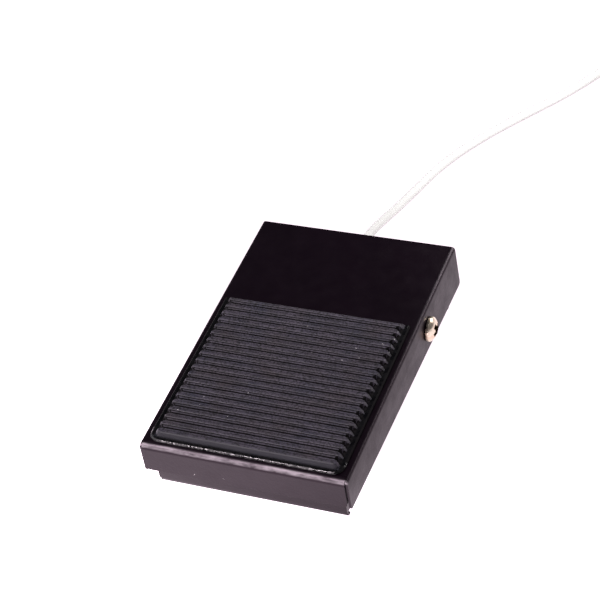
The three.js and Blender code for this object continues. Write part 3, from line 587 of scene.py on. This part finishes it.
def coil_points():
    """The lead's centreline in the coil, clockwise from its left side and leaving at its right side."""
    turns = coil_turns()
    middle_column = (COIL_COLUMNS - 1) / 2
    points = []
    total = TURN_POINTS * len(turns) - TURN_POINTS // 2
    for i in range(total + 1):
        turn, share = divmod(i / TURN_POINTS, 1)
        here = turns[int(turn)]
        following = turns[min(int(turn) + 1, len(turns) - 1)]
        shift = max(0.0, (share - MOVE_OVER) / (1 - MOVE_OVER))
        shift = shift * shift * (3 - 2 * shift)
        column = here[0] + (following[0] - here[0]) * shift
        layer = here[1] + (following[1] - here[1]) * shift
        radius = COIL_RADIUS + (column - middle_column) * COIL_PITCH
        angle = math.pi - math.tau * i / TURN_POINTS
        height = COIL_BOTTOM + LEAD_DIAMETER / 2 + layer * COIL_PITCH
        place = Vector((radius * math.cos(angle), radius * math.sin(angle), height))
        points.append(COIL_CENTRE + place)
    return points


def lead_points():
    run = [(x * MM, y * MM, LAID if z is None else z * MM) for x, y, z in LEAD_ROUTE_MM]
    coil = coil_points()
    tail = [tuple(c * MM for c in point) for point in LEAD_TAIL_MM]
    inside_plug = [PLUG_LINE + Vector((0, -y * MM, 0)) for y in INSIDE_PLUG_MM]
    first = smooth_route([*run, coil[0]])
    last = smooth_route([coil[-1], *tail, *inside_plug])
    return [*first, *coil[1:-1], *last]


def make_lead():
    points = lead_points()
    curve = bpy.data.curves.new("lead", "CURVE")
    curve.dimensions = "3D"
    curve.bevel_depth = LEAD_DIAMETER / 2
    curve.bevel_resolution = 5
    curve.use_fill_caps = True
    spline = curve.splines.new("POLY")
    spline.points.add(len(points) - 1)
    for target, point in zip(spline.points, points):
        target.co = (*point, 1)
    spline.use_smooth = True
    curve.materials.append(MATERIALS["lead_jacket"])
    lead = bpy.data.objects.new("lead", curve)
    bpy.context.scene.collection.objects.link(lead)
    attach(lead, "base")
    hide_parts("lead_run", "lead_coil", "lead_tail")
    return lead


def make_strain_relief():
    """A rubber grommet in the back wall with a ribbed taper round the lead."""
    low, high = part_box("strain_relief")
    centre = (low + high) / 2
    length = high.y - low.y
    lip, wall = 1.3 * MM, 1.8 * MM
    neck, flange = 3.2 * MM, 4.8 * MM
    root, tip = 3.3 * MM, 2.2 * MM
    rings, ring_share, groove = 6, 0.6, 0.7 * MM
    outside = lip + wall
    start = outside + lip
    profile = [(0, 0), (flange, 0), (flange, lip), (neck, lip), (neck, outside)]
    profile += [(flange, outside), (flange, start)]
    pitch = (length - start) / rings
    for ring in range(rings):
        at = start + ring * pitch
        step = at + pitch * ring_share
        outer = root + (tip - root) * ring / rings
        inner = outer - groove if ring < rings - 1 else outer
        profile += [(outer, at), (outer, step), (inner, step), (inner, at + pitch)]
    profile += [(0, length)]
    origin = (centre.x, low.y, centre.z)
    outline = rounded(profile, 0.25 * MM)
    mesh = mesh_of("relief", lambda bm: lathe(bm, outline, origin, (0, 1, 0), 48))
    return place_piece("cable_grommet", mesh, "base", "black_rubber", ["strain_relief"])


# The plug's outlines: (radius in millimetres, share of the part's length from the lead's end)
RELIEF_TIP, RELIEF_ROOT, RELIEF_SLOT = 2.3, 3.6, 0.5
RELIEF_RINGS = 6
GRIP_RADIUS, GRIP_RIB = 5.4, 5.74
GRIP_RIBS = 9
SLEEVE_OUTLINE = [(0, 0), (3.15, 0), (3.15, 1), (0, 1)]
INSULATOR_OUTLINE = [(0, 0), (2.95, 0), (2.95, 1), (0, 1)]
TIP_OUTLINE = [
    (0, 0),
    (3.15, 0),
    (3.15, 0.34),
    (2.75, 0.40),
    (2.1, 0.50),
    (2.1, 0.60),
    (2.6, 0.66),
    (3.1, 0.74),
    (2.9, 0.82),
    (1.9, 0.94),
    (1.2, 1),
    (0, 1),
]


def relief_outline():
    """A taper with slots between its rings."""
    outline = [(0, 0), (RELIEF_TIP, 0)]
    for ring in range(RELIEF_RINGS):
        share = (ring + 0.25) / RELIEF_RINGS
        radius = RELIEF_TIP + (RELIEF_ROOT - RELIEF_TIP) * share
        slot, slot_end = radius - RELIEF_SLOT, share + 0.07
        outline += [(radius, share), (slot, share), (slot, slot_end), (radius, slot_end)]
    return outline + [(RELIEF_ROOT, 1), (0, 1)]


def grip_outline():
    """A barrel with finger ribs and a collar."""
    outline = [(0, 0), (4.4, 0), (GRIP_RADIUS, 0.06)]
    for rib in range(GRIP_RIBS):
        share = 0.16 + 0.6 * rib / (GRIP_RIBS - 1)
        outline += [(GRIP_RADIUS, share - 0.02), (GRIP_RIB, share - 0.01)]
        outline += [(GRIP_RIB, share + 0.02), (GRIP_RADIUS, share + 0.03)]
    return outline + [(GRIP_RADIUS, 0.84), (5.7, 0.86), (5.7, 0.95), (5, 1), (0, 1)]


def make_plug_part(name, node, outline, slot, rounding):
    low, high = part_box(node)
    origin = (PLUG_LINE.x, high.y, PLUG_LINE.z)
    scaled = [(radius * MM, share * (high.y - low.y)) for radius, share in outline]
    profile = rounded(scaled, rounding * MM)
    mesh = mesh_of(name, lambda bm: lathe(bm, profile, origin, (0, -1, 0)))
    return place_piece(name, mesh, "base", slot, [node])


def make_plug():
    """The jack plug: moulded grip with finger ribs, a slotted relief, and a turned tip and sleeve."""
    return [
        make_plug_part("plug_boot", "plug_relief", relief_outline(), "plug_plastic", 0.15),
        make_plug_part("plug_grip", "plug_body", grip_outline(), "plug_plastic", 0.3),
        make_plug_part("plug_shaft", "plug_sleeve", SLEEVE_OUTLINE, "plug_metal", 0.12),
        make_plug_part("plug_ring", "plug_insulator", INSULATOR_OUTLINE, "plug_plastic", 0.1),
        make_plug_part("plug_point", "plug_tip", TIP_OUTLINE, "plug_metal", 0.35),
    ]


# The strap round the coil, at an angle from the coil's right side
STRAP_WIDTH, STRAP_THICKNESS = 5 * MM, 0.45 * MM
STRAP_CORNER = 2.2 * MM
STRAP_ANGLE = math.radians(50)
STRAP_PLAY = 0.3 * MM
CORNER_STEPS = 6


def strap_path():
    """(distance from the coil's middle, height) round the section of the coil."""
    low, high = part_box("coil_tie")
    bottom, top = low.z + STRAP_THICKNESS, high.z - STRAP_THICKNESS - 0.1 * MM
    inner = COIL_RADIUS - COIL_COLUMNS / 2 * COIL_PITCH - STRAP_PLAY
    outer = COIL_RADIUS + COIL_COLUMNS / 2 * COIL_PITCH + STRAP_PLAY
    near, far = inner + STRAP_CORNER, outer - STRAP_CORNER
    down, up = bottom + STRAP_CORNER, top - STRAP_CORNER
    path = []
    for (a, b), start in (((far, down), -90), ((far, up), 0), ((near, up), 90), ((near, down), 180)):
        for i in range(CORNER_STEPS + 1):
            turn = math.radians(start + 90 * i / CORNER_STEPS)
            path.append((a + STRAP_CORNER * math.cos(turn), b + STRAP_CORNER * math.sin(turn)))
    return path


def make_coil_strap():
    """A hook-and-loop strap round the coil's turns."""
    path = strap_path()
    across = Vector((-math.sin(STRAP_ANGLE), math.cos(STRAP_ANGLE), 0))
    out = Vector((math.cos(STRAP_ANGLE), math.sin(STRAP_ANGLE), 0))

    def build(bm):
        rings = []
        for i, (a, b) in enumerate(path):
            before, after = path[i - 1], path[(i + 1) % len(path)]
            tangent = Vector((after[0] - before[0], after[1] - before[1])).normalized()
            normal = Vector((tangent.y, -tangent.x))
            ring = []
            for side, depth in ((-1, 0), (1, 0), (1, STRAP_THICKNESS), (-1, STRAP_THICKNESS)):
                place = COIL_CENTRE + out * (a + normal.x * depth) + across * side * STRAP_WIDTH / 2
                ring.append(bm.verts.new(place + Vector((0, 0, b + normal.y * depth))))
            rings.append(ring)
        skin(bm, [*rings, rings[0]])

    mesh = mesh_of("coil_strap", build)
    strap = place_piece("coil_strap", mesh, "base", "tie_fabric", ["coil_tie"])
    bevel = strap.modifiers.new("soft_edges", "BEVEL")
    bevel.width = 0.12 * MM
    bevel.segments = 2
    bevel.limit_method = "ANGLE"
    return strap


lead = make_lead()
lead_pieces = [make_strain_relief(), *make_plug(), make_coil_strap()]

# ---- carried-over CAD nodes: smooth round faces and their materials ----


def dress_cad_nodes():
    for name, node in NODES.items():
        node.data.shade_smooth()
        node.data.set_sharp_from_angle(angle=math.radians(SMOOTH_ANGLE))
        node.data.materials.clear()
        node.data.materials.append(MATERIALS[SLOT_OF[name]])


dress_cad_nodes()

# ---- sheet metal: the CAD shapes with their cut edges softened as paint leaves them ----

PAINTED_EDGE = 0.22 * MM


def soften_sheet(node, name):
    """The node's own shape with flat faces merged and sharp edges rounded."""
    bm = bmesh.new()
    bm.from_mesh(NODES[node].data)
    bmesh.ops.remove_doubles(bm, verts=bm.verts, dist=1e-6)
    bmesh.ops.dissolve_limit(
        bm,
        angle_limit=math.radians(1.5),
        verts=bm.verts,
        edges=bm.edges,
        delimit={"NORMAL"},
    )
    mesh = bpy.data.meshes.new(name)
    bm.to_mesh(mesh)
    bm.free()
    mesh.materials.clear()
    body = NODES[node]["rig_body"]
    piece = place_piece(name, mesh, body, SLOT_OF[node], [node], smooth=30)
    bevel = piece.modifiers.new("painted_edges", "BEVEL")
    bevel.width = PAINTED_EDGE
    bevel.segments = 3
    bevel.limit_method = "ANGLE"
    bevel.angle_limit = math.radians(40)
    bevel.harden_normals = True


soften_sheet("pedal_cover", "cover_shell")
soften_sheet("base_tray", "tray_shell")

# ---- rubber tread ----

PLATE_FRONT_Z, PLATE_BACK_Z, PLATE_LENGTH = 19.8 * MM, 25.7 * MM, 101.5 * MM
SLOPE = math.atan2(PLATE_BACK_Z - PLATE_FRONT_Z, PLATE_LENGTH)
PLATE_MIDDLE = Matrix.Translation((0, 0, (PLATE_FRONT_Z + PLATE_BACK_Z) / 2))
ON_PLATE = PLATE_MIDDLE @ Matrix.Rotation(SLOPE, 4, "X")

# The tread in millimetres and in the plate's own plane, as the CAD source has it
TREAD_HALF = 29.7
TREAD_BACK = 13.1
TREAD_FRONT = -47.2
TREAD_TOP = 2.2
TREAD_SEAT = 0.3
RIM_WIDTH = 1.6
RIM_CORNER = 3.5
OUTER_X = TREAD_HALF + RIM_WIDTH
OUTER_FRONT = TREAD_FRONT - RIM_WIDTH
SIDE_EDGE = 0.6  # the outer edge of the rim along the two sides, which gets the painted shade
RIBS = 20
RIB_PITCH = (TREAD_BACK - TREAD_FRONT) / RIBS
BACK_LAND, FRONT_LAND = 0.9, 1.1  # flat ends behind the first rib and in front of the last
GROOVE_DEPTH = 1.4
GROOVE_HALF = 0.09  # share of the pitch
FLARE = 0.4  # share of the pitch by which a groove widens at the ribs' ends
FLARE_START = 4.2
BEAD_WIDTH, BEAD_HEIGHT = 0.45, 0.16  # the lip along the back edge, behind a furrow as wide and deep
DARK_DEPTH = 0.5  # a dip this far below the top, and this far inside the outline, gets the painted shade
DARK_INSET = 2.8
MIDDLE_COLUMNS = 24  # of the grid, between the two moulded edges
LEAST_SPACING = 0.03
# One rib from back to front: (share of the pitch, height below the top)
RIB_PROFILE = [
    (0.00, GROOVE_DEPTH),
    (0.055, GROOVE_DEPTH),
    (0.075, 0.20),
    (0.11, 0.05),
    (0.17, 0.02),
    (0.23, 0.02),
    (0.28, 0.05),
    (0.30, 0.24),
    (0.35, 0.24),
    (0.375, 0.03),
    (0.43, 0.0),
    (0.52, 0.0),
    (0.60, 0.02),
    (0.645, 0.10),
    (0.66, 0.60),
    (0.72, 0.60),
    (0.735, 0.12),
    (0.79, 0.03),
    (0.86, 0.05),
    (0.905, 0.22),
    (0.925, GROOVE_DEPTH),
]
# From the rim's outer edge inwards: (distance, height above the plate)
EDGE_PROFILE = [
    (0.0, 0.3),
    (0.04, 0.5),
    (0.22, 0.66),
    (0.48, 0.83),
    (0.8, 0.9),
    (1.15, 0.88),
    (1.4, 0.74),
    (1.6, 0.7),
    (1.75, 1.0),
    (2.0, 1.45),
    (2.3, 1.9),
    (2.55, 2.12),
    (2.8, 2.2),
    (3.2, 2.2),
    (3.6, 2.2),
    (4.2, 2.2),
]


def between(table, at):
    """The value of a table of points at a place between them."""
    if at <= table[0][0]:
        return table[0][1]
    for (a, b), (c, d) in zip(table, table[1:]):
        if at <= c:
            return b + (d - b) * (at - a) / (c - a)
    return table[-1][1]


def tread_lines():
    """The grid's x and y lines, close together where the tread is moulded fine."""
    edge = [distance for distance, _ in EDGE_PROFILE]
    inside = [-OUTER_X + d for d in edge]
    span = 2 * (OUTER_X - edge[-1])
    middle = [inside[-1] + span * i / MIDDLE_COLUMNS for i in range(1, MIDDLE_COLUMNS)]
    xs = inside + middle + [-x for x in reversed(inside)]
    ys = {round(OUTER_FRONT + d, 4) for d in edge}
    for rib in range(RIBS):
        ys |= {round(TREAD_BACK - (rib + share) * RIB_PITCH, 4) for share, _ in RIB_PROFILE}
    ys |= {TREAD_BACK - d for d in (BEAD_WIDTH, BEAD_WIDTH + 0.05, 2 * BEAD_WIDTH)}
    ys |= {round(TREAD_BACK - max(0.0, d - RIM_WIDTH), 4) for d in edge}
    ordered = sorted(y for y in ys if OUTER_FRONT <= y <= TREAD_BACK)
    spaced = [ordered[0]]
    for y in ordered[1:]:
        if y - spaced[-1] > LEAST_SPACING:
            spaced.append(y)
    return xs, spaced


def in_groove(y, inset):
    """Whether a place is in a deep groove, which widens towards the ribs' ends."""
    position = (TREAD_BACK - y) / RIB_PITCH
    groove = round(position)
    flare = max(0.0, (FLARE_START - inset) / (FLARE_START - RIM_WIDTH)) * FLARE
    return 0 < groove < RIBS and abs(position - groove) < max(GROOVE_HALF, flare)


def tread_height(y, inset):
    """Height above the plate: the moulded edge, or the ribs where they are lower."""
    behind = TREAD_BACK - y
    drop = between(RIB_PROFILE, behind / RIB_PITCH % 1)
    if behind < BACK_LAND or y < TREAD_FRONT + FRONT_LAND:
        drop = 0.0
    if in_groove(y, inset):
        drop = GROOVE_DEPTH
    if behind < BEAD_WIDTH:
        drop = -BEAD_HEIGHT
    elif behind < 2 * BEAD_WIDTH:
        drop = BEAD_HEIGHT
    return min(between(EDGE_PROFILE, inset), TREAD_TOP - drop)


def tread_point(x, y):
    """A grid point moved onto the rounded outline, and how far inside that outline it is."""
    centre_x = OUTER_X - RIM_CORNER
    centre_y = OUTER_FRONT + RIM_CORNER
    past_x = abs(x) - centre_x
    past_y = centre_y - y
    if past_x > 0 and past_y > 0:
        reach = max(past_x, past_y)
        shrink = reach / math.hypot(past_x, past_y)
        moved_x = math.copysign(centre_x + past_x * shrink, x)
        moved_y = centre_y - past_y * shrink
        return moved_x, moved_y, RIM_CORNER - reach
    end_inset = y - OUTER_FRONT if y < 0 else TREAD_BACK - y + RIM_WIDTH
    return x, y, min(OUTER_X - abs(x), end_inset)


def tread_look(face):
    """Which of the tread's materials a face of its top has."""
    x, y, _ = face.calc_center_median()
    inset = tread_point(x, y)[2]
    lowest = min(vert.co.z for vert in face.verts)
    # Faces in the grooves and deep dips get the painted shade
    in_dip = lowest < TREAD_TOP - DARK_DEPTH and inset > DARK_INSET
    in_painted_shade = inset > RIM_WIDTH and (in_groove(y, inset) or in_dip)
    # The rim's outer edge along the two sides gets the painted shade too
    on_side_edge = inset < SIDE_EDGE and y > TREAD_FRONT + RIM_CORNER
    if in_painted_shade or on_side_edge:
        return "tread_painted_shade"
    if inset < RIM_WIDTH:
        return "tread_rim"
    return "tread_flank" if y < TREAD_FRONT + FRONT_LAND else "tread_rubber"


TREAD_LOOKS = ["tread_rubber", "tread_rim", "tread_painted_shade", "tread_flank"]


def make_tread():
    xs, ys = tread_lines()

    def on_edge(x, y):
        return x in (xs[0], xs[-1]) or y in (ys[0], ys[-1])

    def boundary(rows):
        right = [row[-1] for row in rows[1:-1]]
        left = [row[0] for row in reversed(rows[1:-1])]
        return [*rows[0], *right, *reversed(rows[-1]), *left]

    def build(bm):
        top, bottom = [], []
        for y in ys:
            row, under = [], []
            for x in xs:
                px, py, inset = tread_point(x, y)
                row.append(bm.verts.new((px, py, tread_height(py, inset))))
                under.append(bm.verts.new((px, py, TREAD_SEAT)) if on_edge(x, y) else None)
            top.append(row)
            bottom.append(under)
        for row, following in zip(top, top[1:]):
            for i in range(len(xs) - 1):
                face = bm.faces.new((row[i], row[i + 1], following[i + 1], following[i]))
                face.material_index = TREAD_LOOKS.index(tread_look(face))
        rim = TREAD_LOOKS.index("tread_rim")
        loop, low_loop = boundary(top), boundary(bottom)
        for i in range(len(loop)):
            j = (i + 1) % len(loop)
            bm.faces.new((loop[i], low_loop[i], low_loop[j], loop[j])).material_index = rim
        bm.faces.new(low_loop).material_index = rim
        bmesh.ops.remove_doubles(bm, verts=bm.verts, dist=1e-4)
        bmesh.ops.transform(bm, matrix=ON_PLATE @ Matrix.Scale(MM, 4), verts=bm.verts)

    mesh = mesh_of("tread", build)
    for look in TREAD_LOOKS:
        mesh.materials.append(MATERIALS[look])
    place_piece("ribbed_tread", mesh, "pedal", "tread_rubber", ["rubber_tread"], smooth=28)


make_tread()

# ---- pivot screws, feet and spring ----

# The head's outline as shares of its radius and height
HEAD_DOME = [
    (1, 0.3),
    (0.98, 0.38),
    (0.9, 0.5),
    (0.8, 0.62),
    (0.7, 0.72),
    (0.55, 0.83),
    (0.4, 0.915),
    (0.2, 0.98),
]
DOME_BY_RADIUS = [(0, 1), *reversed(HEAD_DOME)]
SHANK_RADIUS, SHANK_BEVEL = 2 * MM, 0.4 * MM
HEAD_HEIGHT = 2.8 * MM
RECESS_OVER, RECESS_DEPTH = 0.3 * MM, 1.7 * MM
RECESS_TOP = (2.6 * MM, 0.95 * MM)  # half the length and half the width of an arm of the cross
RECESS_FLOOR = (1.5 * MM, 0.6 * MM)
RECESS_TURNS = (20, 110)
HEAD_LIP, HEAD_LIP_RISE = 0.15 * MM, 0.2 * MM  # the small bevel under the head's edge
RECESS_REACH = 0.8  # share of the head's radius within which a low face is the recess's


def make_pivot_screw(side, direction):
    """A pan head with a cross recess, worn bright, and its shank."""
    node = f"pivot_screw_{side}"
    low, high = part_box(node)
    centre = (low + high) / 2
    radius = (high.z - low.z) / 2
    length = high.x - low.x
    seat = length - HEAD_HEIGHT
    profile = [(0, 0), (SHANK_RADIUS - SHANK_BEVEL, 0), (SHANK_RADIUS, SHANK_BEVEL)]
    profile += [(SHANK_RADIUS, seat), (radius - HEAD_LIP, seat), (radius, seat + HEAD_LIP_RISE)]
    profile += [(radius * across, seat + HEAD_HEIGHT * up) for across, up in HEAD_DOME]
    profile.append((0, length))
    start = low.x if direction > 0 else high.x
    origin = (start, centre.y, centre.z)
    solid = mesh_of(node, lambda bm: lathe(bm, profile, origin, (direction, 0, 0)))

    def recess_arm(bm, turn):
        spin = Matrix.Rotation(math.radians(turn), 3, "X")
        rings = []
        for up, (arm, half) in ((RECESS_OVER, RECESS_TOP), (-RECESS_DEPTH, RECESS_FLOOR)):
            middle = Vector((start + direction * (length + up), centre.y, centre.z))
            corners = ((arm, half), (-arm, half), (-arm, -half), (arm, -half))
            rings.append([bm.verts.new(middle + spin @ Vector((0, a, b))) for a, b in corners])
        for ring in rings:
            bm.faces.new(ring)
        skin(bm, rings)

    for turn in RECESS_TURNS:
        solid = cut_with(solid, mesh_of("recess", lambda bm, turn=turn: recess_arm(bm, turn)))
    solid.materials.clear()
    solid.materials.append(MATERIALS["zinc_plate"])
    solid.materials.append(MATERIALS["recess_shade"])
    for face in solid.polygons:
        across = math.hypot(face.center.y - centre.y, face.center.z - centre.z)
        along = abs(face.center.x - start) - seat
        dome = HEAD_HEIGHT * between(DOME_BY_RADIUS, across / radius)
        inside = 0 < along < dome - 0.1 * MM and across < radius * RECESS_REACH
        face.material_index = 1 if inside else 0
    place_piece(f"cross_screw_{side}", solid, "base", "zinc_plate", [node], smooth=32)


make_pivot_screw("right", 1)
make_pivot_screw("left", -1)

# A foot from the floor up, with the stud that holds it in the tray: (radius, height) in millimetres
FOOT_OUTLINE = [
    (0, 0),
    (4.6, 0),
    (5.1, 0.25),
    (5.5, 0.8),
    (5.5, 1.5),
    (1.9, 1.5),
    (1.9, 3.3),
    (2.9, 3.3),
    (1.35, 4.7),
    (0, 4.7),
]


def make_feet():
    profile = rounded([(r * MM, h * MM) for r, h in FOOT_OUTLINE], 0.2 * MM, 3)
    for node in [name for name in NODES if name.startswith("foot_")]:
        low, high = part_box(node)
        centre = (low + high) / 2
        origin = (centre.x, centre.y, low.z)
        mesh = mesh_of(node, lambda bm: lathe(bm, profile, origin, (0, 0, 1), 48))
        place_piece(node.replace("foot", "rubber_foot"), mesh, "base", "black_rubber", [node])


make_feet()

SPRING_WIRE = 0.55 * MM
SPRING_TURNS, SPRING_STEPS, SPRING_SIDES = 6, 36, 12
CLOSED_RISE = 0.1  # share of the height that each closed end turn takes up


def spring_rise(share):
    """How far up the spring's height its wire is, after a share of its turns."""
    closed = 1 / SPRING_TURNS
    if share < closed:
        return CLOSED_RISE * share / closed
    if share > 1 - closed:
        return 1 - CLOSED_RISE * (1 - share) / closed
    return CLOSED_RISE + (1 - 2 * CLOSED_RISE) * (share - closed) / (1 - 2 * closed)


def make_spring():
    """A compression spring with its end turns closed up."""
    low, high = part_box("return_spring")
    centre = (low + high) / 2
    radius = (high.x - low.x) / 2 - SPRING_WIRE
    height = high.z - low.z - 2 * SPRING_WIRE
    bottom = Vector((centre.x, centre.y, low.z + SPRING_WIRE))
    up = Vector((0, 0, 1))

    def build(bm):
        rings = []
        total = SPRING_TURNS * SPRING_STEPS
        for i in range(total + 1):
            angle = math.tau * i / SPRING_STEPS
            out = Vector((math.cos(angle), math.sin(angle), 0))
            middle = bottom + up * height * spring_rise(i / total) + out * radius
            ring = []
            for k in range(SPRING_SIDES):
                turn = math.tau * k / SPRING_SIDES
                around = out * math.cos(turn) + up * math.sin(turn)
                ring.append(bm.verts.new(middle + around * SPRING_WIRE))
            rings.append(ring)
        skin(bm, rings)
        bm.faces.new(rings[0])
        bm.faces.new(rings[-1])

    mesh = mesh_of("spring", build)
    spring = place_piece("coil_spring", mesh, "base", "spring_steel", ["return_spring"])
    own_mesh(spring)


make_spring()
